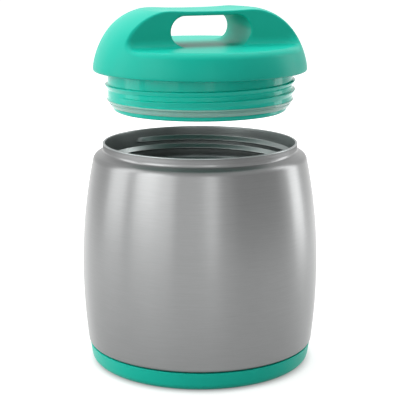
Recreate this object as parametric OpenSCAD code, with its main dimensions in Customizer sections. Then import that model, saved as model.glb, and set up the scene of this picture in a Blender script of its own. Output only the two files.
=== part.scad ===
// Insulated food jar with a screw lid: a double-walled steel barrel that is welded
// at its mouth and its bottom, a moulded base cap, and a domed lid with a handle
// opening through it. The lid is drawn unscrewed and held above the mouth.
// Millimetres, +Z up, origin at the middle of the underside. The handle bar of the
// lid runs along X.

/* [Steel body] */
// Height from the table to the mouth's lip
jar_h = 111.5; // [108:0.5:116]
// How far the barrel's belly stands outside the neck's wall
belly_out = 11.9; // [11.2:0.1:12.8]
// Height of the largest diameter
belly_z = 48.5; // [43:0.5:54]
// Radius of the barrel's side above the belly
upper_side_r = 260; // [245:5:300]
// Radius of the barrel's side below the belly
lower_side_r = 305; // [260:5:340]
// Depth below the lip at which the barrel's side turns into the shoulder
shoulder_drop = 8.2; // [7.2:0.2:10.4]
// Radius of the shoulder's turn
shoulder_r = 4; // [3.4:0.2:4.8]
// How far the shoulder's turn goes round, in degrees
shoulder_turn = 63; // [58:1:66]
// Air between the two sheets in the collar below the lip
collar_air = 0.1; // [0.05:0.05:0.4]
// Hollow fillet between shoulder and collar
collar_fillet = 1.4; // [0.8:0.1:1.8]
// Radius of the steel's turn above the base cap
curl_r = 2; // [1.4:0.1:2.6]
// Thickness of the outer sheet
shell_t = 0.5; // [0.4:0.05:0.5]

/* [Inner vessel] */
// Inner diameter of the neck
neck_d = 94.8; // [88:0.2:102]
// How far the food space's wall lies inside the neck's wall
vessel_step = 2.9; // [2.4:0.1:3.4]
// Thickness of the inner sheet
vessel_t = 0.5; // [0.4:0.05:0.5]
// Radius between the vessel's wall and floor
vessel_corner_r = 6; // [4:0.5:9]
// Empty space between the vessel's floor and the bottom disc
floor_gap = 7; // [6:0.5:12]
// Thickness of the folded lip
lip_t = 0.5; // [0.4:0.1:0.8]
// Thickness of the foil that is wrapped round the vessel
foil_t = 0.2; // [0.1:0.05:0.4]

/* [Thread] */
// Rise of the thread in one turn
thread_lead = 4.6; // [4.4:0.1:5]
// Gap between the crest of the lid's thread and the neck's wall
lid_crest_play = 0.45; // [0.35:0.05:0.6]
// How far the thread rolled into the neck stands inwards
neck_ridge_w = 1; // [0.9:0.05:1.1]
// Height of a thread ridge at its root
ridge_h = 2.8; // [2.4:0.1:2.9]
// Height of a thread ridge's flat crest
crest_h = 1.2; // [0.8:0.1:1.4]
// Turns of thread on the lid
lid_thread_turns = 1.6; // [1.2:0.1:1.9]
// Direction of the lid thread's lower end
lid_thread_start_a = -170; // [-360:5:0]
// Turns of thread in the neck
neck_thread_turns = 1.6; // [1.2:0.1:1.7]
// Depth of the neck thread's upper end below the lip
neck_thread_depth = 7; // [6:0.5:7.5]
// Direction of the neck thread's upper end
neck_thread_end_a = 115; // [0:5:360]
// Vertical play between the two threads
thread_play = 0.9; // [0.5:0.1:1.1]

/* [Base] */
// Height of the base cap
base_h = 9.4; // [8:0.2:12]
// How far the base cap's side lies inside the barrel's side
base_inset = 0.4; // [0.2:0.05:1]
// How much the base cap's radius shrinks from its top to its underside
base_draft = 1.5; // [0.8:0.1:2]
// Thickness of the base cap's wall
base_wall = 2.8; // [2.4:0.1:3.4]
// Thickness of the base cap's floor
base_floor = 2.4; // [2:0.1:3]
// Radius of the base cap's lower edge
base_edge_r = 4.2; // [3:0.2:4.8]
// Depth of the hollow under the base cap
foot_hollow = 0.8; // [0.4:0.1:1.2]
// Width of the foot round that hollow, up to the base cap's side
foot_w = 9.6; // [6:0.2:20]
// Thickness of the glue pad on the base cap's floor
glue_t = 0.8; // [0.4:0.1:1.2]
// Shadow gap between base cap and steel
seam_gap = 0.4; // [0.3:0.05:0.6]

/* [Bottom disc] */
// Height of the bottom disc's turned-up rim
disc_rim_h = 3.5; // [2.5:0.1:4]
// Diameter of the dimple round the evacuation hole
dimple_d = 14; // [10:1:18]
// Depth of the dimple
dimple_depth = 1.2; // [0.8:0.1:1.6]
// Diameter of the evacuation hole
vent_d = 2; // [1:0.2:3]
// Diameter of the sealing bead
seal_d = 8; // [6:0.5:9]
// Diameter of the getter pill
getter_d = 10; // [8:0.5:12]
// Height of the getter pill
getter_h = 2.2; // [1.5:0.1:3]
// Distance of the getter from the axis
getter_x = 30; // [24:1:34]
// Width of the getter's holding strap
clip_w = 5; // [3:0.5:7]
// Thickness of the strap
clip_t = 0.3; // [0.2:0.05:0.5]

/* [Lid cap] */
// Thickness of the lid's rim
rim_t = 2.53; // [2.4:0.01:3]
// Gap between the rim and the collar that it drops over
rim_play = 1.7; // [1.5:0.1:1.9]
// Height of the dome above its upright rim
dome_h = 30.2; // [29:0.2:34]
// Height of the upright rim below the dome
rim_h = 1.25; // [0.8:0.05:2]
// Squareness of the dome's flank
dome_flank = 1.494; // [1.4:0.02:1.6]
// Squareness of the dome's top
dome_top = 4.36; // [3.8:0.04:4.8]
// Radius of the rim's lower outer edge
rim_edge_r = 0.9; // [0.4:0.1:1.1]
// Wall thickness of the dome
cap_t = 2.6; // [2:0.1:2.8]
// Diameter of the shallow hollow in the top
dish_d = 55.2; // [50:1:60]
// Diameter of that hollow's flat middle
dish_flat_d = 34; // [28:1:40]
// Depth of that hollow below the dome's peak
dish_depth = 1.95; // [1.6:0.05:2.3]
// Gap between the closed lid's rim and the shoulder
closing_gap = 0.5; // [0.35:0.05:0.8]

/* [Handle] */
// Width of the bridge between the two scoops
bridge_w = 31.8; // [28:0.2:38]
// Height of the scoops' shelf above the lid's rim
shelf_h = 12.7; // [12.2:0.1:13.4]
// Radius of the scoops' upright wall in plan
scoop_r = 300; // [200:10:400]
// Length of the scoops along the bridge
scoop_l = 88.2; // [84:0.2:92]
// Radius by which the scoops' wall turns outwards at each end, in plan
scoop_end_r = 5; // [3:0.5:7]
// Hollow fillet between that wall and the shelf
scoop_fillet = 4.5; // [2:0.5:6]
// Length of the finger opening
slot_l = 40.8; // [36:0.2:44]
// Thickness of the handle bar above the finger opening, at its middle
bar_t = 2.05; // [1.8:0.05:4]

/* [Lid plug] */
// Depth of the plug's underside below the lid's rim
plug_drop = 19.6; // [18:0.2:21]
// Gap between the plug's wall and the neck's wall
plug_play = 1.8; // [1.6:0.1:2]
// Thickness of the plug's wall and floor
plug_t = 2; // [1.6:0.1:2.4]
// How far the lip under the gasket lies inside the gasket's lower end
plug_lip_inset = 1.1; // [0.6:0.1:1.6]
// Height of the lip under the gasket
plug_lip_h = 2.3; // [1.8:0.1:2.6]
// Radius of the plug's lower edge
plug_edge_r = 1.2; // [0.8:0.1:1.7]
// Thickness of the plug's upper flange
flange_t = 1.8; // [1.4:0.1:2.2]
// Room between the closed plug's flange and the lip of the jar
lip_room = 0.8; // [0.5:0.1:1.2]

/* [Gasket] */
// Gap between the gasket's widest edge and the crest of the neck's thread
gasket_play = 0.35; // [0.3:0.05:0.5]
// How much the gasket's radius shrinks towards its lower end
gasket_taper = 1.95; // [1.6:0.05:2.3]
// Width of the gasket at its lower end
gasket_w = 2.6; // [2.2:0.1:3.2]
// Height of the gasket
gasket_h = 3.55; // [3.2:0.05:4]
// Gap between the closed gasket and its conical seat
seat_gap = 0.35; // [0.3:0.05:0.6]

/* [Lid position] */
// How far the lid is held above its closed place
lid_raise = 40.2; // [36:0.2:60]

/* [Hidden] */
$fn = 96;

// colours
steel = "#8b8c8b";
bright_steel = "#a7aaab";
teal = "#1f9d89";
silicone = "#b5c3be";

// fits and small shared sizes
slip = 0.1;              // gap of pieces that are pushed together
foam_gap = 0.5;          // air round the insulating disc
far = 200;               // reach of a cutter past the part

// radii that follow the neck
neck_r = neck_d / 2;
belly_r = neck_r + belly_out;
vessel_r = neck_r - vessel_step;
collar_r = neck_r + vessel_t + collar_air + shell_t;
rim_in_r = collar_r + rim_play;
lid_r = rim_in_r + rim_t;
plug_r = neck_r - plug_play;
lid_crest_r = neck_r - lid_crest_play;
neck_crest_r = neck_r - neck_ridge_w;
gasket_r = neck_crest_r - gasket_play;
gasket_low_r = gasket_r - gasket_taper;
groove_r = gasket_low_r - gasket_w;
plug_lip_r = gasket_low_r - plug_lip_inset;

// Radius of the barrel's side at the height z
function side_r(z) = let (r = z > belly_z ? upper_side_r : lower_side_r)
    belly_r - r + sqrt(r * r - (z - belly_z) * (z - belly_z));

// barrel of the outer shell and base cap
base_r = side_r(base_h) - base_inset;
foot_r = base_r - base_draft;
base_lean = atan(base_draft / base_h);
ledge_z = base_h + seam_gap;                       // underside of the steel's curl
skirt_r = base_r - base_wall - slip;               // the part that hides in the base cap
skirt_z = base_floor + glue_t;                     // lower edge of the steel
barrel_low_z = ledge_z + curl_r;
shoulder_z = jar_h - shoulder_drop;
shell_top_z = jar_h - lip_t;
side_step = 3;                                     // height of one facet of the side
turn_steps = 8;                                    // facets of a rounded turn

function arc(c, r, a0, a1, n = turn_steps) =
    [for (i = [0:n]) let (a = a0 + (a1 - a0) * i / n) c + r * [cos(a), sin(a)]];
function reversed(list) = [for (i = [len(list) - 1:-1:0]) list[i]];

shoulder_a = asin((shoulder_z - belly_z) / upper_side_r);
shoulder_c = [side_r(shoulder_z), shoulder_z] - shoulder_r * [cos(shoulder_a), sin(shoulder_a)];
shoulder_end = shoulder_c + shoulder_r * [cos(shoulder_turn), sin(shoulder_turn)];
curl_c = [side_r(barrel_low_z) - curl_r, barrel_low_z];
fillet_r = collar_r + collar_fillet;
fillet_z = shoulder_end.y
    + (collar_fillet - (fillet_r - shoulder_end.x) * cos(shoulder_turn)) / sin(shoulder_turn);
side_n = ceil((shoulder_z - barrel_low_z) / side_step);

// Outline of the shell from its lower edge to its top, moved inwards by in
function shell_outline(in) = concat(
    [[skirt_r - in, skirt_z], [skirt_r - in, ledge_z + in]],
    arc(curl_c, curl_r - in, -90, 0),
    [for (i = [1:side_n - 1])
        let (z = barrel_low_z + (shoulder_z - barrel_low_z) * i / side_n) [side_r(z) - in, z]],
    arc(shoulder_c, shoulder_r - in, shoulder_a, shoulder_turn),
    arc([fillet_r, fillet_z], collar_fillet + in, 180 + shoulder_turn, 180),
    [[collar_r - in, shell_top_z]]
);

// Height of the shoulder's straight slope at the radius r
function shoulder_height(r) =
    shoulder_end.y + (shoulder_end.x - r) * cos(shoulder_turn) / sin(shoulder_turn);

// heights of the closed lid
rim_z = shoulder_height(rim_in_r) + closing_gap;
plug_low_z = rim_z - plug_drop;
gasket_low_z = plug_low_z + plug_lip_h;
gasket_top_z = gasket_low_z + gasket_h;
flange_z = jar_h + lip_room;
ceiling_z = flange_z + flange_t;                   // where the cap sits on the plug's flange
shelf_z = rim_z + shelf_h;
dome_z = rim_z + rim_h;

// conical seat of the gasket in the neck, parallel to the gasket
gasket_lean = atan(gasket_taper / gasket_h);
seat_r = gasket_r + seat_gap * cos(gasket_lean);
seat_z = gasket_top_z - seat_gap * sin(gasket_lean);
seat_top_z = seat_z + (neck_r - seat_r) / tan(gasket_lean);
seat_low_z = seat_z - (seat_r - vessel_r) / tan(gasket_lean);

// inside of the vessel
disc_top_z = skirt_z + shell_t;
vessel_floor_z = disc_top_z + floor_gap + vessel_t;

// Outline of the vessel from its floor's middle to the neck, moved outwards by out
function vessel_outline(out) = concat(
    [[0, vessel_floor_z - out]],
    arc([vessel_r - vessel_corner_r, vessel_floor_z + vessel_corner_r],
        vessel_corner_r + out, -90, 0),
    [[vessel_r + out, seat_low_z - out * tan(gasket_lean / 2)],
     [neck_r + out, seat_top_z - out * tan(gasket_lean / 2)]]
);

// threads: both are right-handed helices of one lead. The lid's upper flank lies
// thread_play below the neck's lower flank, a whole number of turns higher up.
neck_flank_z = jar_h - neck_thread_depth - thread_lead * neck_thread_end_a / 360;
neck_thread_start_a = neck_thread_end_a - 360 * neck_thread_turns;
meshing_z = neck_flank_z - thread_play;
lid_thread_low_z = gasket_top_z + ridge_h + 2 * slip + lid_raise;
lid_thread_rise = lid_thread_low_z - meshing_z - thread_lead * lid_thread_start_a / 360;
lid_flank_z = meshing_z + thread_lead * ceil(lid_thread_rise / thread_lead);
flank_rise = 0.2;        // height of the steep flank
root_sink = 0.25;        // depth of the ridge's foot in its wall
fade_a = 24;             // turn over which a ridge rises out of its wall
ridge_steps = 60;        // facets in one turn

// Ridge wound on a wall of radius wall_r. Its steep flank lies at flank_z at the angle
// 0, and its crest has the radius crest_r. A ridge that stands out of its wall hangs
// below the steep flank, and one that stands inwards rises above it, so they interlock.
module thread_ridge(wall_r, crest_r, flank_z, start_a, turns) {
    n = ceil(ridge_steps * turns);
    out = sign(crest_r - wall_r);
    foot_r = wall_r - out * root_sink;
    hidden_r = wall_r - out * root_sink / 2;
    // section of the ridge, with its crest at the radius r
    function section(r) =
        [[foot_r, 0], [r, flank_rise], [r, flank_rise + crest_h], [foot_r, ridge_h]];
    points = [for (i = [0:n])
        let (turn = 360 * turns * i / n,
             a = start_a + turn,
             rise = min(1, turn / fade_a, (360 * turns - turn) / fade_a),
             z = flank_z + thread_lead * a / 360)
        for (p = section(hidden_r + (crest_r - hidden_r) * rise))
            [p.x * cos(a), p.x * sin(a), z - out * p.y]];
    corners = len(section(crest_r));
    last = n * corners;
    sides = [for (i = [0:n - 1], k = [0:corners - 1])
        let (a = i * corners + k, b = i * corners + (k + 1) % corners)
        for (t = [[b + corners, b, a], [a + corners, b + corners, a]]) t];
    first_end = [for (k = [0:corners - 1]) k];
    last_end = [for (k = [corners - 1:-1:0]) last + k];
    polyhedron(points, concat(sides, [first_end, last_end]));
}

// dome of the lid: a squared ellipse turned about the axis
dome_n = 9;              // points on the flank and again on the top
knee = 0.72;             // height share at which the points change from flank to top
function dome_r(h, r, peak) = r * pow(1 - pow(h / peak, dome_flank), 1 / dome_top);
function dome_height(x, r, peak) = peak * pow(1 - pow(x / r, dome_top), 1 / dome_flank);
function dome_outline(z, r, peak) = concat(
    [for (i = [0:dome_n]) let (h = knee * peak * i / dome_n) [dome_r(h, r, peak), z + h]],
    [for (i = [1:dome_n])
        let (x = dome_r(knee * peak, r, peak) * (1 - i / dome_n)) [x, z + dome_height(x, r, peak)]]
);
peak_z = dome_z + dome_h;
dish_z = peak_z - dish_depth;
slot_h = dish_z - bar_t - shelf_z;                 // height of the finger opening

// inside of the plug
plug_in_r = plug_r - plug_t;
cup_r = groove_r - plug_t;                         // narrow part behind the groove
cup_z = plug_low_z + plug_t;
step_z = gasket_top_z + plug_t;
foam_top_z = shelf_z - cap_t - foam_gap;

// The lid's pieces are described where they are when it is closed
module held_open() {
    translate([0, 0, lid_raise]) children();
}

module outer_shell() {
    color(steel)
        rotate_extrude()
            polygon(concat(shell_outline(0), reversed(shell_outline(shell_t))));
}

module inner_vessel() {
    color(bright_steel) {
        rotate_extrude()
            polygon(concat(
                vessel_outline(0),
                [[neck_r, jar_h], [collar_r, jar_h], [collar_r, shell_top_z],
                 [neck_r + vessel_t, shell_top_z]],
                reversed(vessel_outline(vessel_t))));
        thread_ridge(neck_r, neck_crest_r, neck_flank_z, neck_thread_start_a, neck_thread_turns);
    }
}

module radiation_foil() {
    foil_r = vessel_r + vessel_t + slip;
    low_z = vessel_floor_z + vessel_corner_r;
    high_z = seat_low_z - vessel_t - foil_t;
    color("silver")
        translate([0, 0, low_z])
            difference() {
                cylinder(h = high_z - low_z, r = foil_r + foil_t);
                translate([0, 0, -far])
                    cylinder(h = 2 * far, r = foil_r);
            }
}

module shell_bottom() {
    edge_r = skirt_r - shell_t;
    color(bright_steel)
        rotate_extrude()
            polygon([
                [vent_d / 2, skirt_z + dimple_depth],
                [dimple_d / 2 - dimple_depth, skirt_z + dimple_depth],
                [dimple_d / 2, skirt_z],
                [edge_r, skirt_z],
                [edge_r, skirt_z + disc_rim_h],
                [edge_r - shell_t, skirt_z + disc_rim_h],
                [edge_r - shell_t, disc_top_z],
                [dimple_d / 2, disc_top_z],
                [dimple_d / 2 - dimple_depth, disc_top_z + dimple_depth],
                [vent_d / 2, disc_top_z + dimple_depth]
            ]);
}

// Bead that closes the evacuation hole from below, in the dimple
module vacuum_seal() {
    bead_h = dimple_depth - slip;
    color("dimgray")
        rotate_extrude()
            polygon([
                [0, skirt_z + dimple_depth - bead_h],
                [seal_d / 2 - bead_h / 2, skirt_z + dimple_depth - bead_h],
                [seal_d / 2, skirt_z + dimple_depth],
                [0, skirt_z + dimple_depth]
            ]);
}

module getter() {
    color("slategray")
        translate([getter_x, 0, disc_top_z])
            cylinder(h = getter_h, d = getter_d);
}

// Strap over the getter, with a foot spot-welded to the disc on each side
module getter_clip() {
    reach = getter_d / 2 + slip;
    top = getter_h + slip;
    foot = clip_w * 0.6;
    color(bright_steel)
        translate([getter_x, clip_w / 2, disc_top_z])
            rotate([90, 0, 0])
                linear_extrude(clip_w)
                    polygon([
                        [-reach - clip_t - foot, 0], [-reach, 0], [-reach, top], [reach, top],
                        [reach, 0], [reach + clip_t + foot, 0], [reach + clip_t + foot, clip_t],
                        [reach + clip_t, clip_t], [reach + clip_t, top + clip_t],
                        [-reach - clip_t, top + clip_t], [-reach - clip_t, clip_t],
                        [-reach - clip_t - foot, clip_t]
                    ]);
}

module base_adhesive() {
    ring_w = skirt_r - shell_t - dimple_d / 2;
    color("khaki")
        translate([0, 0, base_floor])
            difference() {
                cylinder(h = glue_t, r = dimple_d / 2 + ring_w * 0.9);
                translate([0, 0, -far])
                    cylinder(h = 2 * far, r = dimple_d / 2 + ring_w * 0.1);
            }
}

module base_cap() {
    hollow_r = base_r - foot_w;
    color(teal)
        rotate_extrude()
            polygon(concat(
                [[0, foot_hollow], [hollow_r - foot_hollow, foot_hollow], [hollow_r, 0]],
                arc([foot_r - base_edge_r / tan(45 + base_lean / 2), base_edge_r], base_edge_r,
                    -90, -base_lean),
                [[base_r, base_h], [base_r - base_wall, base_h],
                 [base_r - base_wall, base_floor], [0, base_floor]]));
}

// Cutter of the two scoops beside the handle, grown by grow on all sides. In plan each is
// bounded by a wide circle and, at each end, by a small one that touches it from inside.
module scoops(grow) {
    centre_y = bridge_w / 2 + scoop_r;
    end_x = scoop_l / 2 - scoop_end_r;
    end_y = centre_y - sqrt(pow(scoop_r - scoop_end_r, 2) - end_x * end_x);
    end_r = scoop_end_r + grow;
    touch_a = atan2(end_y - centre_y, end_x);
    past_touch = [end_x, end_y] + (end_r + slip) * [cos(touch_a), sin(touch_a)];
    end_wall = [
        [past_touch.x, 0], past_touch,
        for (i = [1:turn_steps])
            let (a = touch_a * (1 - i / turn_steps)) [end_x, end_y] + end_r * [cos(a), sin(a)],
        [end_x + end_r, far]
    ];
    inner_r = scoop_r - lid_r;
    for (side_a = [0, 180])
        rotate([0, 0, side_a])
            intersection() {
                translate([0, centre_y, 0])
                    rotate_extrude($fn = 360)
                        polygon(concat(
                            [[inner_r, peak_z + far], [inner_r, shelf_z - grow]],
                            arc([scoop_r - scoop_fillet, shelf_z + scoop_fillet], scoop_fillet + grow,
                                -90, 0),
                            [[scoop_r + grow, peak_z + far]]));
                linear_extrude(peak_z + far)
                    polygon(concat(end_wall, reversed([for (p = end_wall) [-p.x, p.y]])));
            }
}

// Cutter of the finger opening, grown by grow on all sides
module slot(grow) {
    end_x = slot_l / 2 - slot_h / 2;
    translate([0, far, shelf_z + slot_h / 2])
        rotate([90, 0, 0])
            linear_extrude(2 * far) {
                square([2 * end_x, slot_h + 2 * grow], center = true);
                for (side = [-1, 1])
                    translate([side * end_x, 0])
                        circle(d = slot_h + 2 * grow);
            }
}

module lid_cap() {
    color(teal)
        held_open()
            difference() {
                rotate_extrude()
                    polygon(concat(
                        [[0, rim_z]],
                        arc([lid_r - rim_edge_r, rim_z + rim_edge_r], rim_edge_r, -90, 0, 4),
                        dome_outline(dome_z, lid_r, dome_h)));
                // hollow of the rim, up to the flange of the plug
                translate([0, 0, rim_z - far])
                    cylinder(h = far + ceiling_z - rim_z, r = rim_in_r);
                // shallow hollow in the top
                rotate_extrude()
                    polygon([[0, dish_z], [dish_flat_d / 2, dish_z],
                             [dish_d / 2, dome_z + dome_height(dish_d / 2, lid_r, dome_h)],
                             [dish_d / 2, peak_z + far], [0, peak_z + far]]);
                scoops(0);
                slot(0);
                // hollow legs of the bridge and hollow under the shelf
                difference() {
                    rotate_extrude()
                        polygon(concat(
                            [[0, ceiling_z - slip], [dome_r(ceiling_z - dome_z, lid_r - cap_t,
                                                            dome_h - cap_t), ceiling_z - slip]],
                            [for (p = dome_outline(dome_z, lid_r - cap_t, dome_h - cap_t))
                                if (p.y > ceiling_z) p]));
                    scoops(cap_t);
                    slot(cap_t);
                }
            }
}

module lid_plug() {
    color(teal)
        held_open()
            rotate_extrude()
                polygon(concat(
                    [[0, plug_low_z]],
                    arc([plug_lip_r - plug_edge_r, plug_low_z + plug_edge_r], plug_edge_r, -90, 0),
                    [[plug_lip_r, gasket_low_z], [groove_r, gasket_low_z],
                     [groove_r, gasket_top_z + slip], [plug_r, gasket_top_z + slip],
                     [plug_r, flange_z], [rim_in_r - slip, flange_z],
                     [rim_in_r - slip, ceiling_z], [plug_in_r, ceiling_z],
                     [plug_in_r, step_z], [cup_r, step_z], [cup_r, cup_z], [0, cup_z]]));
    color(teal)
        thread_ridge(plug_r, lid_crest_r, lid_flank_z, lid_thread_start_a, lid_thread_turns);
}

module lid_foam() {
    color("white")
        held_open()
            rotate_extrude()
                polygon([
                    [0, cup_z + foam_gap], [cup_r - foam_gap, cup_z + foam_gap],
                    [cup_r - foam_gap, step_z + foam_gap], [plug_in_r - foam_gap, step_z + foam_gap],
                    [plug_in_r - foam_gap, foam_top_z], [0, foam_top_z]
                ]);
}

module gasket() {
    color(silicone)
        held_open()
            rotate_extrude()
                polygon([
                    [groove_r, gasket_low_z], [gasket_low_r, gasket_low_z],
                    [gasket_r, gasket_top_z], [groove_r, gasket_top_z]
                ]);
}

outer_shell();
inner_vessel();
radiation_foil();
shell_bottom();
vacuum_seal();
getter();
getter_clip();
base_adhesive();
base_cap();
lid_cap();
lid_plug();
lid_foam();
gasket();
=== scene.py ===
"""How the insulated food jar looks.

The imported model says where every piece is. Each section below makes or dresses one piece, in the order in
which the jar goes together, from the steel barrel to the gasket of its lid. The pieces' lengths are
millimetres, which turn to metres when a mesh is made. Camera, floor, lamps and the patterns of materials
are in metres. The lid is unscrewed and stands above the mouth.
"""

import math

import bpy
import numpy as np
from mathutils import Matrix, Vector


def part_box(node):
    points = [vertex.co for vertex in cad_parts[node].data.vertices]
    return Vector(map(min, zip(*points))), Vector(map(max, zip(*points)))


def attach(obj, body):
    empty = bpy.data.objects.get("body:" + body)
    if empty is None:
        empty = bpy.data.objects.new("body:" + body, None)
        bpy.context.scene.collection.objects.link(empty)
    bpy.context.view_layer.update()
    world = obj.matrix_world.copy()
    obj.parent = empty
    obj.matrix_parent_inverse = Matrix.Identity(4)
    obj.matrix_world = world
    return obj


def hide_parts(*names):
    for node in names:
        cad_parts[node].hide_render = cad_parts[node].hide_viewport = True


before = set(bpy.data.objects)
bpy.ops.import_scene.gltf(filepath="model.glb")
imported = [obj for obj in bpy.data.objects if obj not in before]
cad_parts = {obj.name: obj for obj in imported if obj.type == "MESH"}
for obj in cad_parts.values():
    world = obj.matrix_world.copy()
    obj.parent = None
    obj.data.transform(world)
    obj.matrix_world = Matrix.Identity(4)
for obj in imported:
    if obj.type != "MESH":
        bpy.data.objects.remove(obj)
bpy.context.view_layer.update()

# ------------------------------------------------------------------ camera
# It stands a little above the mouth and to the left of the handle's front, and looks at the jar's axis.

VIEW_AZIMUTH = -20.0      # degrees round the axis, 0 is in front of the handle and 90 on its right
VIEW_ELEVATION = 12.5
VIEW_DISTANCE = 0.6262    # metres from the point that it looks at
VIEW_TARGET = Vector((0, 0, 0.0813))
LENS_MM = 111.6
SENSOR_MM = 36.0
NEAREST_DRAWN = 0.05      # metres from the camera


def direction(azimuth, elevation):
    """Unit vector from the axis towards a place at that azimuth and elevation, both in degrees."""
    a, e = math.radians(azimuth), math.radians(elevation)
    return Vector((math.sin(a) * math.cos(e), -math.cos(a) * math.cos(e), math.sin(e)))


def aimed(thing, azimuth, elevation, distance, target):
    """Puts an object at that place round the target, turned to look at it."""
    back = direction(azimuth, elevation)
    thing.location = target + back * distance
    thing.rotation_euler = (-back).to_track_quat("-Z", "Y").to_euler()
    bpy.context.scene.collection.objects.link(thing)
    return thing


camera_data = bpy.data.cameras.new("camera")
camera_data.lens = LENS_MM
camera_data.sensor_width = SENSOR_MM
camera_data.clip_start = NEAREST_DRAWN
camera = aimed(bpy.data.objects.new("camera", camera_data),
               VIEW_AZIMUTH, VIEW_ELEVATION, VIEW_DISTANCE, VIEW_TARGET)
bpy.context.scene.camera = camera
bpy.context.scene.view_settings.view_transform = "Standard"

# ------------------------------------------------------------------ floor and light
# A white floor and an even white surround. Tall softboxes left and right draw upright bands in the steel
# and the glossy plug, and a grey card tones down what they mirror on the right. A lamp behind on the left
# and one overhead light the jar without being mirrored in it.


def linear(hex_colour):
    """sRGB hex colour as linear red, green, blue and alpha."""
    s = np.array([int(hex_colour[i:i + 2], 16) for i in (1, 3, 5)]) / 255
    return (*np.where(s <= 0.04045, s / 12.92, ((s + 0.055) / 1.055) ** 2.4), 1.0)


def add(tree, kind, options=None, inputs=None):
    """Adds a node of that kind, sets its options, and gives each input a value or a link."""
    made = tree.nodes.new(kind)
    for name, value in (options or {}).items():
        setattr(made, name, value)
    for name, value in (inputs or {}).items():
        if isinstance(value, bpy.types.NodeSocket):
            tree.links.new(value, made.inputs[name])
        else:
            made.inputs[name].default_value = value
    return made


def emptied(owner):
    """Node tree of a material or world, with all its nodes taken out."""
    owner.use_nodes = True
    owner.node_tree.nodes.clear()
    return owner.node_tree


def seen_ray(tree):
    """1 on rays from the camera and on mirrored and refracted ones, which show the white itself, and 0 on
    the rays that only bring its light."""
    path = add(tree, "ShaderNodeLightPath")
    first = add(tree, "ShaderNodeMath", {"operation": "MAXIMUM"},
                {0: path.outputs["Is Camera Ray"], 1: path.outputs["Is Glossy Ray"]})
    return add(tree, "ShaderNodeMath", {"operation": "MAXIMUM"},
               {0: first.outputs[0], 1: path.outputs["Is Transmission Ray"]}).outputs[0]


WHITE = "#FFFFFF"
SURROUND_LIGHT = 0.17     # how strongly the surround lights the jar, against 1 for how it looks

world = bpy.data.worlds.new("studio")
bpy.context.scene.world = world
tree = emptied(world)
strength = add(tree, "ShaderNodeMapRange", {}, {"Value": seen_ray(tree), "To Min": SURROUND_LIGHT,
                                                "To Max": 1.0})
backdrop = add(tree, "ShaderNodeBackground", {}, {"Color": linear(WHITE),
                                                  "Strength": strength.outputs[0]})
add(tree, "ShaderNodeOutputWorld", {}, {"Surface": backdrop.outputs[0]})

# The floor's paint takes the lamps' light and shadows, and a glow that is only seen lifts it to the
# surround's white. The glow is turned down in a painted shadow round a point beside the jar, and further in
# a narrow painted shadow where the jar touches the floor.
FLOOR_REACH = 8.0
FLOOR_PAINT = "#A8A8A8"
GLOW_NEAR, GLOW_FAR = 0.70, 1.0           # strength of the glow in the shadow's middle and outside it
NEAR, FAR = 0.10, 0.32    # distances from the shadow's middle between which the glow grows
SHADOW_ASIDE = 0.05       # how far that middle lies on the right of the jar's axis
TOUCH_R, CLEAR_R = 0.0515, 0.0585         # distances from the axis between which the narrow one fades
TOUCH_SHARE = 0.30        # share of the glow that is left where the jar touches the floor

floor_mesh = bpy.data.meshes.new("floor")
floor_mesh.from_pydata([(-FLOOR_REACH, -FLOOR_REACH, 0), (FLOOR_REACH, -FLOOR_REACH, 0),
                        (FLOOR_REACH, FLOOR_REACH, 0), (-FLOOR_REACH, FLOOR_REACH, 0)],
                       [], [(0, 1, 2, 3)])
floor = bpy.data.objects.new("floor", floor_mesh)
bpy.context.scene.collection.objects.link(floor)
white_floor = bpy.data.materials.new("white_floor")
tree = emptied(white_floor)
paint = add(tree, "ShaderNodeBsdfDiffuse", {}, {"Color": linear(FLOOR_PAINT)})
place = add(tree, "ShaderNodeTexCoord").outputs["Object"]
# painted shadows: only the glow that the camera and mirrors see is dimmed near the jar, not the light that
# reaches the floor
shadow_middle = direction(VIEW_AZIMUTH + 90, 0) * SHADOW_ASIDE
from_shadow = add(tree, "ShaderNodeVectorMath", {"operation": "DISTANCE"}, {0: place, 1: shadow_middle})
wide = add(tree, "ShaderNodeMapRange", {}, {"Value": from_shadow.outputs["Value"], "From Min": NEAR,
                                            "From Max": FAR, "To Min": GLOW_NEAR, "To Max": GLOW_FAR})
from_axis = add(tree, "ShaderNodeVectorMath", {"operation": "LENGTH"}, {0: place})
narrow = add(tree, "ShaderNodeMapRange", {}, {"Value": from_axis.outputs["Value"], "From Min": TOUCH_R,
                                              "From Max": CLEAR_R, "To Min": TOUCH_SHARE, "To Max": 1.0})
both = add(tree, "ShaderNodeMath", {"operation": "MULTIPLY"}, {0: wide.outputs[0], 1: narrow.outputs[0]})
shown = add(tree, "ShaderNodeMath", {"operation": "MULTIPLY"}, {0: seen_ray(tree), 1: both.outputs[0]})
glow = add(tree, "ShaderNodeEmission", {}, {"Color": linear(WHITE), "Strength": shown.outputs[0]})
mixed = add(tree, "ShaderNodeAddShader", {}, {0: paint.outputs[0], 1: glow.outputs[0]})
add(tree, "ShaderNodeOutputMaterial", {}, {"Surface": mixed.outputs[0]})
floor_mesh.materials.append(white_floor)


def panel_lamp(name, width, height, brightness, azimuth, elevation, distance, target):
    """Rectangular lamp that shines at the target and that the camera doesn't see. Its brightness is its
    radiance, where white paper has 1. It is worked out as the energy over four times the area."""
    lamp = bpy.data.lights.new(name, "AREA")
    lamp.shape = "RECTANGLE"
    lamp.size, lamp.size_y = width, height
    lamp.energy = 4 * brightness * width * height
    made = aimed(bpy.data.objects.new(name, lamp), azimuth, elevation, distance, target)
    made.visible_camera = False
    return made


def softbox(name, azimuth, distance, low, high, width, brightness):
    """Upright lamp that faces the jar's axis from that distance, at an azimuth in degrees from the
    camera's own. low and high are the heights of its lower and upper edge."""
    return panel_lamp(name, width, high - low, brightness, VIEW_AZIMUTH + azimuth, 0, distance,
                      Vector((0, 0, (low + high) / 2)))


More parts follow.
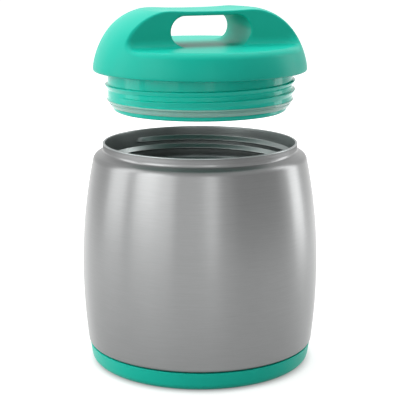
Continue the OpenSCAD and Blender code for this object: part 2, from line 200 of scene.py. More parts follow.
# name, azimuth, distance, lower and upper edge, width, brightness
softbox("left_softbox", -88, 0.45, 0.05, 0.62, 0.20, 2.0)
softbox("left_front_softbox", -54, 0.55, 0.08, 0.66, 0.25, 2.55)
softbox("left_fill", -33, 0.70, 0.05, 0.60, 0.20, 1.6)
front_fill = softbox("front_fill", -2, 0.80, 0.0, 0.60, 0.50, 0.5)
front_fill.visible_diffuse = False        # the jar mirrors it and isn't lit by it
softbox("front_strip", 12, 0.80, 0.04, 0.60, 0.16, 1.2)
back_left = softbox("back_left_softbox", -140, 0.60, 0.14, 0.66, 0.30, 3.0)
back_left.visible_glossy = False          # it lights the lid's edge and isn't mirrored
softbox("right_strip", 108, 0.45, 0.0, 0.50, 0.14, 2.3)

OVERHEAD_SIDE = 1.6
OVERHEAD_BRIGHTNESS = 2.45
OVERHEAD_AZIMUTH = 190    # degrees from the camera's own, so it hangs behind the jar
OVERHEAD_ELEVATION, OVERHEAD_DISTANCE = 72, 1.2

overhead = panel_lamp("overhead_softbox", OVERHEAD_SIDE, OVERHEAD_SIDE, OVERHEAD_BRIGHTNESS,
                      VIEW_AZIMUTH + OVERHEAD_AZIMUTH, OVERHEAD_ELEVATION, OVERHEAD_DISTANCE, VIEW_TARGET)
overhead.visible_glossy = False

CARD_GREY = "#D4D4D4"
CARD_AZIMUTH = 61         # degrees from the camera's own
CARD_DISTANCE = 0.75
CARD_WIDTH, CARD_HEIGHT = 0.78, 0.7

card_out = direction(VIEW_AZIMUTH + CARD_AZIMUTH, 0)
card_foot = card_out * CARD_DISTANCE
half_card = Vector((-card_out.y, card_out.x, 0)) * CARD_WIDTH / 2
card_top = Vector((0, 0, CARD_HEIGHT))
card_mesh = bpy.data.meshes.new("right_card")
card_mesh.from_pydata([card_foot - half_card, card_foot + half_card,
                       card_foot + half_card + card_top, card_foot - half_card + card_top],
                      [], [(0, 1, 2, 3)])
card = bpy.data.objects.new("right_card", card_mesh)
bpy.context.scene.collection.objects.link(card)
grey_card = bpy.data.materials.new("grey_card")
tree = emptied(grey_card)
paint = add(tree, "ShaderNodeBsdfDiffuse", {}, {"Color": linear(CARD_GREY)})
add(tree, "ShaderNodeOutputMaterial", {}, {"Surface": paint.outputs[0]})
card_mesh.materials.append(grey_card)
card.visible_camera = False

# ------------------------------------------------------------------ outer shell
# The barrel is one sheet of stainless steel 0.5 mm thick, spun to its belly and shoulder and drawn in to
# the collar. Its outside is brushed on the lathe, so the marks run round it, and it is left bare.


def arc(centre, radius, start, end, steps):
    """Points at equal turns along a circle: centre + radius (cos a, sin a), with a in degrees."""
    a = np.radians(np.linspace(start, end, steps + 1))
    return np.array(centre) + radius * np.column_stack([np.cos(a), np.sin(a)])


def rounded(corners, steps=5):
    """Closed outline from corners (x, y, radius). An arc that touches both sides takes each corner's
    place, and a point past each of its ends, by HOLD of its radius, keeps the straight sides straight
    under smooth shading."""
    HOLD = 0.3
    points = []
    corners = np.array(corners, float)
    for before, corner, after in zip(np.roll(corners, 1, 0), corners, np.roll(corners, -1, 0)):
        place, radius = corner[:2], corner[2]
        if radius == 0:
            points.append(place[None])
            continue
        back, on = before[:2] - place, after[:2] - place
        back, on = back / np.hypot(*back), on / np.hypot(*on)
        half = np.arccos(np.clip(back @ on, -1, 1)) / 2
        reach = radius / np.tan(half)
        middle = place + (back + on) / np.hypot(*(back + on)) * radius / np.sin(half)
        first, last = place + back * reach - middle, place + on * reach - middle
        start, turn = np.arctan2(first[1], first[0]), np.arctan2(last[1], last[0])
        turn = (turn - start + np.pi) % (2 * np.pi) - np.pi
        points += [(middle + first + back * HOLD * radius)[None],
                   arc(middle, radius, *np.degrees([start, start + turn]), steps),
                   (middle + last + on * HOLD * radius)[None]]
    return np.concatenate(points)


def make_object(name, points, faces):
    """Mesh object at the origin from points in millimetres and faces of three or four corners."""
    mesh = bpy.data.meshes.new(name)
    corners = np.concatenate([f.ravel() for f in faces]).astype(np.int32)
    sizes = np.concatenate([np.full(len(f), f.shape[1]) for f in faces])
    mesh.vertices.add(len(points))
    mesh.vertices.foreach_set("co", (np.asarray(points) / 1000).astype(np.float32).ravel())
    mesh.loops.add(len(corners))
    mesh.loops.foreach_set("vertex_index", corners)
    mesh.polygons.add(len(sizes))
    mesh.polygons.foreach_set("loop_start", np.concatenate([[0], np.cumsum(sizes)[:-1]]).astype(np.int32))
    mesh.update(calc_edges=True)
    mesh.validate()
    mesh.polygons.foreach_set("use_smooth", np.ones(len(mesh.polygons), bool))
    made = bpy.data.objects.new(name, mesh)
    bpy.context.scene.collection.objects.link(made)
    return made


def lathe(name, outline, turns=256, shift=None):
    """Solid turned about Z from a closed outline of (radius, height): at the angle a the point (r, z) lies
    at (r cos a, r sin a, z). shift(angle in degrees, r, z) may move the radius of each point. Points on
    the axis are shared by all angles."""
    r, z = outline[:, 0], outline[:, 1]
    area = np.sum(r * np.roll(z, -1) - np.roll(r, -1) * z)
    if area < 0:
        outline = outline[::-1]
    on_axis = outline[:, 0] < 1e-6
    if on_axis.any():
        first = np.flatnonzero(on_axis & ~np.roll(on_axis, -1))[0]
        outline = np.roll(outline, -first, 0)
        on_axis = outline[:, 0] < 1e-6
    ring = outline[~on_axis]
    angle = np.arange(turns) * 360 / turns
    grid_a, grid_r = np.meshgrid(angle, ring[:, 0])
    grid_z = np.repeat(ring[:, 1:], turns, 1)
    if shift is not None:
        grid_r = shift(grid_a, grid_r, grid_z)
    a = np.radians(grid_a)
    points = np.stack([grid_r * np.cos(a), grid_r * np.sin(a), grid_z], -1).reshape(-1, 3)
    rows = np.arange(len(ring))
    if not on_axis.any():
        lower, upper = rows, np.roll(rows, -1)
    else:
        lower, upper = rows[:-1], rows[1:]
    i = np.arange(turns)
    j = (i + 1) % turns
    low, high = lower[:, None] * turns, upper[:, None] * turns
    faces = [np.stack([low + i, low + j, high + j, high + i], -1).reshape(-1, 4)]
    if on_axis.any():
        ends = outline[on_axis]
        poles = len(points) + np.arange(2)
        points = np.concatenate([points, [[0, 0, ends[0, 1]], [0, 0, ends[-1, 1]]]])
        top = (len(ring) - 1) * turns
        faces.append(np.stack([np.full(turns, poles[0]), j, i], -1))
        faces.append(np.stack([np.full(turns, poles[1]), top + i, top + j], -1))
    return make_object(name, points, faces)


def dress(piece, material):
    """Gives the piece that one material."""
    piece.data.materials.clear()
    piece.data.materials.append(material)


MIX_SHARE, MIX_FIRST, MIX_SECOND, MIX_RESULT = 0, 6, 7, 2     # sockets of a Mix node for two colours
NOISE_LOW, NOISE_HIGH = 0.3, 0.7          # values that a noise pattern mostly stays between


def brushed_stainless():
    """Stainless steel brushed round the axis: marks 0.3 mm apart and about 12 mm long, coarser than the
    real grit so that they show, and patches, taller than wide, where the belt pressed harder. The marks
    stretch each highlight up and down. The belt didn't reach the upright collar, which stays dull."""
    MARK, LENGTH, PATCH = 0.0003, 0.012, 0.012
    BRUSHED_Z, DULL_Z = 0.1083, 0.1086    # heights between which the collar's fillet turns dull
    DULL = 0.6
    made = bpy.data.materials.new("brushed_stainless")
    tree = emptied(made)
    place = add(tree, "ShaderNodeTexCoord").outputs["Object"]
    along = add(tree, "ShaderNodeMapping", {}, {"Vector": place,
                                                "Scale": (1 / LENGTH, 1 / LENGTH, 1 / MARK)})
    marks = add(tree, "ShaderNodeTexNoise", {}, {"Vector": along.outputs[0], "Scale": 1.0, "Detail": 3.0,
                                                 "Roughness": 0.7})
    wide = add(tree, "ShaderNodeMapping", {}, {"Vector": place,
                                               "Scale": (1 / PATCH, 1 / PATCH, 0.25 / PATCH)})
    patches = add(tree, "ShaderNodeTexNoise", {}, {"Vector": wide.outputs[0], "Scale": 1.0, "Detail": 2.0})
    tone = add(tree, "ShaderNodeMix", {"data_type": "RGBA"}, {
        MIX_SHARE: marks.outputs["Fac"], MIX_FIRST: linear("#7A7B7B"), MIX_SECOND: linear("#878888")})
    rough = add(tree, "ShaderNodeMapRange", {}, {"Value": patches.outputs["Fac"], "From Min": NOISE_LOW,
                                                 "From Max": NOISE_HIGH, "To Min": 0.31, "To Max": 0.35})
    height = add(tree, "ShaderNodeSeparateXYZ", {}, {0: place}).outputs["Z"]
    finish = add(tree, "ShaderNodeMapRange", {}, {
        "Value": height, "From Min": BRUSHED_Z, "From Max": DULL_Z, "To Min": rough.outputs[0],
        "To Max": DULL})
    bump = add(tree, "ShaderNodeBump", {}, {"Height": marks.outputs["Fac"], "Strength": 0.12,
                                            "Distance": 0.00002})
    tangent = add(tree, "ShaderNodeTangent", {"direction_type": "RADIAL", "axis": "Z"})
    steel = add(tree, "ShaderNodeBsdfPrincipled", {}, {
        "Base Color": tone.outputs[MIX_RESULT], "Metallic": 1.0, "Roughness": finish.outputs[0],
        "Anisotropic": 0.65, "Anisotropic Rotation": 0.25, "Normal": bump.outputs[0],
        "Tangent": tangent.outputs[0]})
    add(tree, "ShaderNodeOutputMaterial", {}, {"Surface": steel.outputs[0]})
    return made


shell_low, shell_high = (np.array(c) * 1000 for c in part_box("outer_shell"))
BELLY_R = min(shell_high[:2])             # half the smaller way across the packed, faceted barrel
BELLY_Z = 48.5
SIDE_R_UP, SIDE_R_DOWN = 260.0, 305.0     # radii of the barrel's side above and below the belly
SHOULDER_Z, SHOULDER_R = 103.3, 4.0
SHOULDER_TURN = 63        # degrees from level, where the shoulder's arc meets the fillet
COLLAR_R = 48.5
COLLAR_FILLET = 1.4
CURL_Z, CURL_R = 9.8, 2.0                 # the sheet's turn above the base cap
SHEET = 0.5
TAIL_R = 53.48                            # the part that hides in the base cap
SUPPORT = 0.4                             # how far from a corner a point keeps the side straight
shell_top = shell_high[2]


def side_radius(z):
    """Radius of the barrel's side: a circle above the belly and a wider one below it, tangent there."""
    r = np.where(z > BELLY_Z, SIDE_R_UP, SIDE_R_DOWN)
    return BELLY_R - r + np.sqrt(r * r - (z - BELLY_Z) ** 2)


def shell_outline(inward):
    """Outline of the sheet from its lower edge up to the collar's top, moved inwards."""
    low_z = CURL_Z + CURL_R
    lean = math.degrees(math.asin((SHOULDER_Z - BELLY_Z) / SIDE_R_UP))
    side_end = np.array([float(side_radius(np.array(SHOULDER_Z))), SHOULDER_Z])
    centre = side_end - SHOULDER_R * np.array([math.cos(math.radians(lean)), math.sin(math.radians(lean))])
    turn = math.radians(SHOULDER_TURN)
    end = centre + SHOULDER_R * np.array([math.cos(turn), math.sin(turn)])
    fillet_r = COLLAR_R + COLLAR_FILLET
    fillet_z = end[1] + (COLLAR_FILLET - (fillet_r - end[0]) * math.cos(turn)) / math.sin(turn)
    curl_x = float(side_radius(np.array(low_z))) - CURL_R
    z = np.linspace(low_z, SHOULDER_Z, 46)[1:-1]
    return np.concatenate([
        [[TAIL_R - inward, shell_low[2]], [TAIL_R - inward, CURL_Z + inward - SUPPORT],
         [TAIL_R - inward, CURL_Z + inward], [TAIL_R - inward + SUPPORT, CURL_Z + inward]],
        arc([curl_x, low_z], CURL_R - inward, -90, 0, 8),
        np.column_stack([side_radius(z) - inward, z]),
        arc(centre, SHOULDER_R - inward, lean, SHOULDER_TURN, 14),
        arc([fillet_r, fillet_z], COLLAR_FILLET + inward, 180 + SHOULDER_TURN, 180, 10),
        [[COLLAR_R - inward, fillet_z + SUPPORT], [COLLAR_R - inward, shell_top]],
    ])


outer_shell = lathe("barrel_sheet", np.concatenate([shell_outline(0), shell_outline(SHEET)[::-1]]), 320)
dress(outer_shell, brushed_stainless())
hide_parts("outer_shell")
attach(outer_shell, "jar")

# ------------------------------------------------------------------ inner vessel
# The food vessel is a drawn stainless cup. Its thread is rolled into the neck, so it stands inwards as a
# rounded ridge, and its lip is folded over the collar, welded and polished. Inside it is left satin.

THREAD_LEAD = 4.6         # rise in one turn, right-handed
THREAD_STEEP, THREAD_CREST = 0.35, 0.3    # widths of the steep flank and of the crest
THREAD_FOOT = 2.8         # whole width, so the rest is the gentle flank


def eased(value, start, end):
    """0 before start, 1 after end, and a smooth rise between them."""
    s = np.clip((value - start) / (end - start), 0, 1)
    return s * s * (3 - 2 * s)


def ridge(angle, height, flank_z, side, start, turns, fade):
    """How far a helical ridge stands out, from 0 to 1, at an angle in degrees and a height. Its steep
    flank lies at flank_z + lead angle / 360, and the ridge spreads from there upwards for side 1 and
    downwards for -1: it rises over the steep flank, keeps its height over the crest and falls straight
    back over the gentle flank. At its ends it runs out over fade degrees."""
    turn = side * ((height - flank_z) / THREAD_LEAD - angle / 360)
    whole = np.floor(turn)
    away = (turn - whole) * THREAD_LEAD
    place = angle + 360 * side * whole
    ends = eased(np.minimum(place - start, start + 360 * turns - place), 0, fade)
    fall = np.clip((THREAD_FOOT - away) / (THREAD_FOOT - THREAD_STEEP - THREAD_CREST), 0, 1)
    return ends * eased(away, 0, THREAD_STEEP) * fall


vessel_low, vessel_high = (np.array(c) * 1000 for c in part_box("inner_vessel"))
MOUTH_Z = vessel_high[2]
NECK_R = 47.4
FOOD_R = 44.5
FLOOR_Z = vessel_low[2] + SHEET
FLOOR_CORNER = 6.0
FLOOR_RINGS = (12, 24, 34)                # radii of mesh rings on the flat floor
SEAT_LOW_Z, SEAT_TOP_Z = 89.82, 95.10     # cone that the gasket closes against
EASE_WALL, EASE_CONE, EASE_IN = 0.4, 0.3, 0.12    # its corners are cut by this: down, up and across
BACK_LOW_Z, BACK_TOP_Z = SEAT_LOW_Z - 0.2, SEAT_TOP_Z - 0.1   # the cone's corners on the sheet's far side
LIP_R = COLLAR_R
NECK_RIDGE = 1.0
NECK_FLANK_Z = 103.03
NECK_THREAD_TURNS = 1.6
NECK_THREAD_END = 115     # degrees round the axis
NECK_THREAD_FADE = 7      # degrees over which it runs out at each end
THREAD_ZONE = (96.4, 107.6)               # heights between which the mesh rows are close
SEEN_STEP, HIDDEN_STEP = 0.12, 0.3        # between those rows on the sheet's seen and hidden side
LIP_IN_R, LIP_OUT_R = 0.25, 0.35          # roundings of the lip's two edges
LIP_ROWS = (1.2, 0.3)                     # mesh rows below the mouth
zone_in = np.arange(*THREAD_ZONE, SEEN_STEP)
zone_out = np.arange(*THREAD_ZONE, HIDDEN_STEP)
wall_z = np.linspace(FLOOR_Z + FLOOR_CORNER + 4, SEAT_LOW_Z - 2, 14)     # rows of the food space's wall

vessel_outline = np.concatenate([
    [[r, FLOOR_Z] for r in (0, *FLOOR_RINGS)],
    arc([FOOD_R - FLOOR_CORNER, FLOOR_Z + FLOOR_CORNER], FLOOR_CORNER, -90, 0, 10),
    np.column_stack([np.full_like(wall_z, FOOD_R), wall_z]),
    [[FOOD_R, SEAT_LOW_Z - EASE_WALL], [FOOD_R + EASE_IN, SEAT_LOW_Z + EASE_CONE],
     [NECK_R - EASE_IN, SEAT_TOP_Z - EASE_CONE], [NECK_R, SEAT_TOP_Z + EASE_WALL]],
    np.column_stack([np.full_like(zone_in, NECK_R), zone_in]),
    [[NECK_R, MOUTH_Z - drop] for drop in LIP_ROWS],
    arc([NECK_R + LIP_IN_R, MOUTH_Z - LIP_IN_R], LIP_IN_R, 180, 90, 4)[1:],
    arc([LIP_R - LIP_OUT_R, MOUTH_Z - LIP_OUT_R], LIP_OUT_R, 90, 0, 5),
    [[LIP_R, MOUTH_Z - SHEET], [NECK_R + SHEET, MOUTH_Z - SHEET]],
    np.column_stack([np.full_like(zone_out, NECK_R + SHEET), zone_out[::-1]]),
    [[NECK_R + SHEET, BACK_TOP_Z], [FOOD_R + SHEET, BACK_LOW_Z]],
    arc([FOOD_R - FLOOR_CORNER, FLOOR_Z + FLOOR_CORNER], FLOOR_CORNER + SHEET, 0, -90, 6),
    [[0, FLOOR_Z - SHEET]],
])


def rolled_thread(angle, r, z):
    """Radius of the neck where the sheet is pushed in by the rolled thread, inside and outside alike."""
    push = ridge(angle, z, NECK_FLANK_Z, 1, NECK_THREAD_END - 360 * NECK_THREAD_TURNS, NECK_THREAD_TURNS,
                 NECK_THREAD_FADE)
    near = (z > THREAD_ZONE[0]) & (z < THREAD_ZONE[1]) & (r > NECK_R - 0.01)
    return r - NECK_RIDGE * push * near


def drawn_stainless():
    """Stainless steel as it leaves the drawing press and the polishing wheel: smoother than the barrel,
    with faint rings 0.9 mm apart where the wheel ran, which change over some 80 mm of their way round.
    Below the gasket's seat the colour turns darker: painted shade for the deep food space."""
    RING, SWEEP = 0.0009, 1 / 12
    # heights between which the painted shade of the food space fades out upwards
    PAINTED_SHADE_FULL_Z, PAINTED_SHADE_GONE_Z = 0.094, 0.098
    made = bpy.data.materials.new("drawn_stainless")
    tree = emptied(made)
    place = add(tree, "ShaderNodeTexCoord").outputs["Object"]
    along = add(tree, "ShaderNodeMapping", {}, {"Vector": place, "Scale": (1 / SWEEP, 1 / SWEEP, 1 / RING)})
    rings = add(tree, "ShaderNodeTexNoise", {}, {"Vector": along.outputs[0], "Scale": 1.0, "Detail": 2.0})
    polished = add(tree, "ShaderNodeMix", {"data_type": "RGBA"}, {
        MIX_SHARE: rings.outputs["Fac"], MIX_FIRST: linear("#8F9594"), MIX_SECOND: linear("#9EA4A3")})
    height = add(tree, "ShaderNodeSeparateXYZ", {}, {0: place}).outputs["Z"]
    out_of_painted_shade = add(tree, "ShaderNodeMapRange", {}, {"Value": height, "From Min": PAINTED_SHADE_FULL_Z,
                                                  "From Max": PAINTED_SHADE_GONE_Z})
    # painted shade: below the seat the steel takes a dark colour in place of the shade deep in the vessel
    tone = add(tree, "ShaderNodeMix", {"data_type": "RGBA"}, {
        MIX_SHARE: out_of_painted_shade.outputs[0], MIX_FIRST: linear("#565D5D"),
        MIX_SECOND: polished.outputs[MIX_RESULT]})
    rough = add(tree, "ShaderNodeMapRange", {}, {"Value": rings.outputs["Fac"], "From Min": NOISE_LOW,
                                                 "From Max": NOISE_HIGH, "To Min": 0.30, "To Max": 0.36})
    bump = add(tree, "ShaderNodeBump", {}, {"Height": rings.outputs["Fac"], "Strength": 0.15,
                                            "Distance": 0.00002})
    steel = add(tree, "ShaderNodeBsdfPrincipled", {}, {
        "Base Color": tone.outputs[MIX_RESULT], "Metallic": 1.0, "Roughness": rough.outputs[0],
        "Normal": bump.outputs[0]})
    add(tree, "ShaderNodeOutputMaterial", {}, {"Surface": steel.outputs[0]})
    return made


inner_vessel = lathe("food_vessel", vessel_outline, 288, rolled_thread)
stainless_inside = drawn_stainless()
dress(inner_vessel, stainless_inside)
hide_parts("inner_vessel")
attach(inner_vessel, "jar")

# ------------------------------------------------------------------ radiation foil
# Aluminium foil wound round the vessel in the vacuum, where it throws the food's heat back. It is as thin
# as kitchen foil, so it creases.


def creased_foil():
    """Bright aluminium foil with soft creases a few millimetres apart."""
    CREASE = 0.006
    made = bpy.data.materials.new("creased_aluminium_foil")
    tree = emptied(made)
    place = add(tree, "ShaderNodeTexCoord").outputs["Object"]
    creases = add(tree, "ShaderNodeTexVoronoi", {"feature": "DISTANCE_TO_EDGE"},
                  {"Vector": place, "Scale": 1 / CREASE})
    bump = add(tree, "ShaderNodeBump", {}, {"Height": creases.outputs["Distance"], "Strength": 0.4,
                                            "Distance": 0.0002})
    foil = add(tree, "ShaderNodeBsdfPrincipled", {}, {
        "Base Color": linear("#D5D7D8"), "Metallic": 1.0, "Roughness": 0.22, "Normal": bump.outputs[0]})
    add(tree, "ShaderNodeOutputMaterial", {}, {"Surface": foil.outputs[0]})
    return made


dress(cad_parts["radiation_foil"], creased_foil())

# ------------------------------------------------------------------ bottom disc, seal, getter and its clip
# A pressed steel disc closes the double wall. The air was drawn out through the hole in its dimple, which
# a bead of brazing metal closes, and a getter pill under a spot-welded strap binds what gas is left.


def grained(name, low, high, grain, roughness, metallic):
    """Plain material between two colours, in grains of that size in metres with a slight relief."""
    RELIEF = 0.00003
    made = bpy.data.materials.new(name)
    tree = emptied(made)
    place = add(tree, "ShaderNodeTexCoord").outputs["Object"]
    spots = add(tree, "ShaderNodeTexNoise", {}, {"Vector": place, "Scale": 1 / grain, "Detail": 3.0})
    tone = add(tree, "ShaderNodeMix", {"data_type": "RGBA"}, {
        MIX_SHARE: spots.outputs["Fac"], MIX_FIRST: linear(low), MIX_SECOND: linear(high)})
    bump = add(tree, "ShaderNodeBump", {}, {"Height": spots.outputs["Fac"], "Strength": 0.3,
                                            "Distance": RELIEF})
    body = add(tree, "ShaderNodeBsdfPrincipled", {}, {
        "Base Color": tone.outputs[MIX_RESULT], "Metallic": metallic, "Roughness": roughness,
        "Normal": bump.outputs[0]})
    add(tree, "ShaderNodeOutputMaterial", {}, {"Surface": body.outputs[0]})
    return made


dress(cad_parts["shell_bottom"], stainless_inside)
dress(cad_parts["getter_clip"], stainless_inside)
dress(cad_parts["vacuum_seal"], grained("brazing_metal", "#46474B", "#6A6A6C", 0.0008, 0.5, 1.0))
dress(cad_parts["getter"], grained("sintered_getter", "#3B3F45", "#585C62", 0.0003, 0.8, 0.6))

# ------------------------------------------------------------------ glue pad
# A pad of pale adhesive. It was spread on the base cap's floor before the steel was pressed in, and set to
# a firm, slightly shiny mass.

dress(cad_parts["base_adhesive"], grained("set_adhesive", "#CBBE93", "#DDD3B0", 0.002, 0.45, 0.0))

# ------------------------------------------------------------------ base cap
# Moulded polypropylene cup, glued under the barrel. Its surface is fine satin, its lower edge is well
# rounded, and it stands on a ring round a shallow hollow.


def satin_polypropylene(name, low, high):
    """Coloured polypropylene from a fine-sanded mould: soft highlights, a grain of 0.25 mm and hardly any
    change of tone, which flow in the mould left."""
    GRAIN, FLOW = 0.00025, 0.03
    made = bpy.data.materials.new(name)
    tree = emptied(made)
    place = add(tree, "ShaderNodeTexCoord").outputs["Object"]
    grain = add(tree, "ShaderNodeTexNoise", {}, {"Vector": place, "Scale": 1 / GRAIN, "Detail": 2.0})
    flow = add(tree, "ShaderNodeTexNoise", {}, {"Vector": place, "Scale": 1 / FLOW, "Detail": 1.0})
    tone = add(tree, "ShaderNodeMix", {"data_type": "RGBA"}, {
        MIX_SHARE: flow.outputs["Fac"], MIX_FIRST: linear(low), MIX_SECOND: linear(high)})
    rough = add(tree, "ShaderNodeMapRange", {}, {"Value": grain.outputs["Fac"], "From Min": NOISE_LOW,
                                                 "From Max": NOISE_HIGH, "To Min": 0.34, "To Max": 0.42})
    bump = add(tree, "ShaderNodeBump", {}, {"Height": grain.outputs["Fac"], "Strength": 0.12,
                                            "Distance": 0.00002})
    body = add(tree, "ShaderNodeBsdfPrincipled", {}, {
        "Base Color": tone.outputs[MIX_RESULT], "Roughness": rough.outputs[0], "IOR": 1.49,
        "Specular IOR Level": 0.14, "Normal": bump.outputs[0]})
    add(tree, "ShaderNodeOutputMaterial", {}, {"Surface": body.outputs[0]})
    return made


base_high = np.array(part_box("base_cap")[1]) * 1000
BASE_R, BASE_H = base_high[0], base_high[2]
BASE_WALL, BASE_FLOOR = 2.8, 2.4
BASE_DRAFT = 1.5          # how much narrower the cup is at its underside
BASE_EDGE = 4.2           # rounding of its lower edge
FOOT_W, FOOT_HOLLOW = 9.6, 0.8
# painted light: the base cap's teal is a lighter copy of the lid's plastic, brightening it as more light
# would
BASE_TEAL = ("#12BAA3", "#16BFA8")        # darkest and lightest tone, a touch lighter than the lid's

base_cap = lathe("base_cap_cup", rounded([
    (0, FOOT_HOLLOW, 0), (BASE_R - FOOT_W - FOOT_HOLLOW, FOOT_HOLLOW, 0.4), (BASE_R - FOOT_W, 0, 0.4),
    (BASE_R - BASE_DRAFT, 0, BASE_EDGE), (BASE_R, BASE_H, 0.35), (BASE_R - BASE_WALL, BASE_H, 0.3),
    (BASE_R - BASE_WALL, BASE_FLOOR, 0.5), (0, BASE_FLOOR, 0)], 8))
dress(base_cap, satin_polypropylene("satin_polypropylene_cup", *BASE_TEAL))
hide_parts("base_cap")
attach(base_cap, "jar")

# ------------------------------------------------------------------ lid cap
# One hollow polypropylene moulding. A dome with an upright rim, scooped out in front and behind down to a
# shelf, so that a bridge is left between the scoops, and a finger opening through the bridge makes its top
# the handle. The top of the bridge is a shallow hollow, and the edges that a hand meets are rounded.

cap_low, cap_high = (np.array(c) * 1000 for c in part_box("lid_cap"))
RIM_Z = cap_low[2]
LID_R = cap_high[0]
RIM_H, DOME_H = 1.25, 30.2                # upright rim, and dome above it
DOME_FLANK, DOME_TOP = 1.494, 4.36        # how square the dome's flank and top are
LEAST_SLOPE = 0.015                       # keeps the field finite in the middle, where its slope vanishes
RIM_EDGE, RIM_INNER_EDGE = 0.9, 0.3
HOLLOW_R = 50.2                           # inside of the rim
CEILING_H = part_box("lid_plug")[1][2] * 1000 - RIM_Z     # where the plug's flange is welded in
CEILING_CORNER = 0.9
HOLLOW_OVERLAP = 0.2                      # by which the hollows of rim and dome reach into each other
WALL = 2.6
DISH_R, DISH_FLAT_R, DISH_DEPTH = 27.6, 14.0, 1.95
DISH_CURVE, DISH_EDGE = 1.6, 1.0          # power of its rise, and rounding of its edge
BRIDGE_HALF = 15.9
SHELF_H = 12.7
SCOOP_R, SCOOP_FILLET = 300.0, 4.5
SCOOP_HALF, SCOOP_CORNER = 44.1, 5.0
SCOOP_EDGE_LOW, SCOOP_EDGE_HIGH = 3.0, 0.9    # roundings of the scoop's edge low and high on the dome
SCOOP_EDGE_H = (14, 24)                   # heights between which one turns into the other
SLOT_HALF, SLOT_H = 20.4, 14.75
SLOT_EDGE_LOW, SLOT_EDGE_HIGH = 0.05, 0.8     # roundings of the finger opening's edge
SLOT_EDGE_RISE = 3.0                      # height above the shelf where the larger one is reached
INNER_EDGE = 1.0
LID_TEAL = ("#10A994", "#14AE99")         # darkest and lightest tone


def joined(a, b, radius):
    """Distance field of what both fields enclose, with the edge between them rounded to that radius."""
    round_off = np.hypot(np.maximum(radius + a, 0), np.maximum(radius + b, 0))
    return np.minimum(-radius, np.maximum(a, b)) + round_off


def dome_field(r, h, radius, peak):
    """Distance, below zero inside, to a squared ellipse turned about Z:
    (r / radius)^top + (h / peak)^flank = 1."""
    up = np.maximum(h, 1e-6) / peak
    out = r / radius
    value = out ** DOME_TOP + up ** DOME_FLANK - 1
    slope = np.hypot(DOME_TOP / radius * out ** (DOME_TOP - 1),
                     DOME_FLANK / peak * up ** (DOME_FLANK - 1))
    return value / np.maximum(slope, LEAST_SLOPE)


def cap_field(x, y, z):
    """Distance field of the cap. Heights h are measured from the rim."""
    h = z - RIM_Z
    r = np.hypot(x, y)
    beside = np.abs(y)
    body = joined(dome_field(r, h - RIM_H, LID_R, DOME_H), -h, RIM_EDGE)
    # shallow hollow in the top: flat in its middle, then rising in a curve to the dome
    dish_h = RIM_H + DOME_H - DISH_DEPTH
    rise = RIM_H + DOME_H * (1 - (DISH_R / LID_R) ** DOME_TOP) ** (1 / DOME_FLANK) - dish_h
    bowl_h = dish_h + rise * np.maximum((r - DISH_FLAT_R) / (DISH_R - DISH_FLAT_R), 0) ** DISH_CURVE
    body = joined(body, h - bowl_h, DISH_EDGE)
    # scoops: a wall of upright cylinders, which turns outwards near the ends, and a level shelf
    cylinder = np.hypot(x, beside - BRIDGE_HALF - SCOOP_R) - SCOOP_R
    wall = joined(cylinder, np.abs(x) - SCOOP_HALF, SCOOP_CORNER)
    scoop = joined(wall, SHELF_H - h, SCOOP_FILLET)
    scoop_edge = SCOOP_EDGE_LOW + (SCOOP_EDGE_HIGH - SCOOP_EDGE_LOW) * eased(h, *SCOOP_EDGE_H)
    solid = joined(body, -scoop, scoop_edge)
    # finger opening: a tunnel along Y with round ends
    slot_r = SLOT_H / 2
    slot = np.hypot(np.maximum(np.abs(x) - SLOT_HALF + slot_r, 0), h - SHELF_H - slot_r) - slot_r
    risen = eased(h, SHELF_H, SHELF_H + SLOT_EDGE_RISE)
    slot_edge = SLOT_EDGE_LOW + (SLOT_EDGE_HIGH - SLOT_EDGE_LOW) * risen
    solid = joined(solid, -slot, slot_edge)
    # hollow of the rim, and the hollow legs and shoulders above the plug's flange
    rim_hollow = joined(r - HOLLOW_R, h - CEILING_H, CEILING_CORNER)
    inner = joined(dome_field(r, h - RIM_H, LID_R - WALL, DOME_H - WALL), WALL - scoop, INNER_EDGE)
    inner = joined(joined(inner, WALL - slot, INNER_EDGE), h - bowl_h + WALL, INNER_EDGE)
    inner = np.maximum(inner, CEILING_H - HOLLOW_OVERLAP - h)
    hollow = np.minimum(rim_hollow, inner)
    return joined(solid, -hollow, RIM_INNER_EDGE)


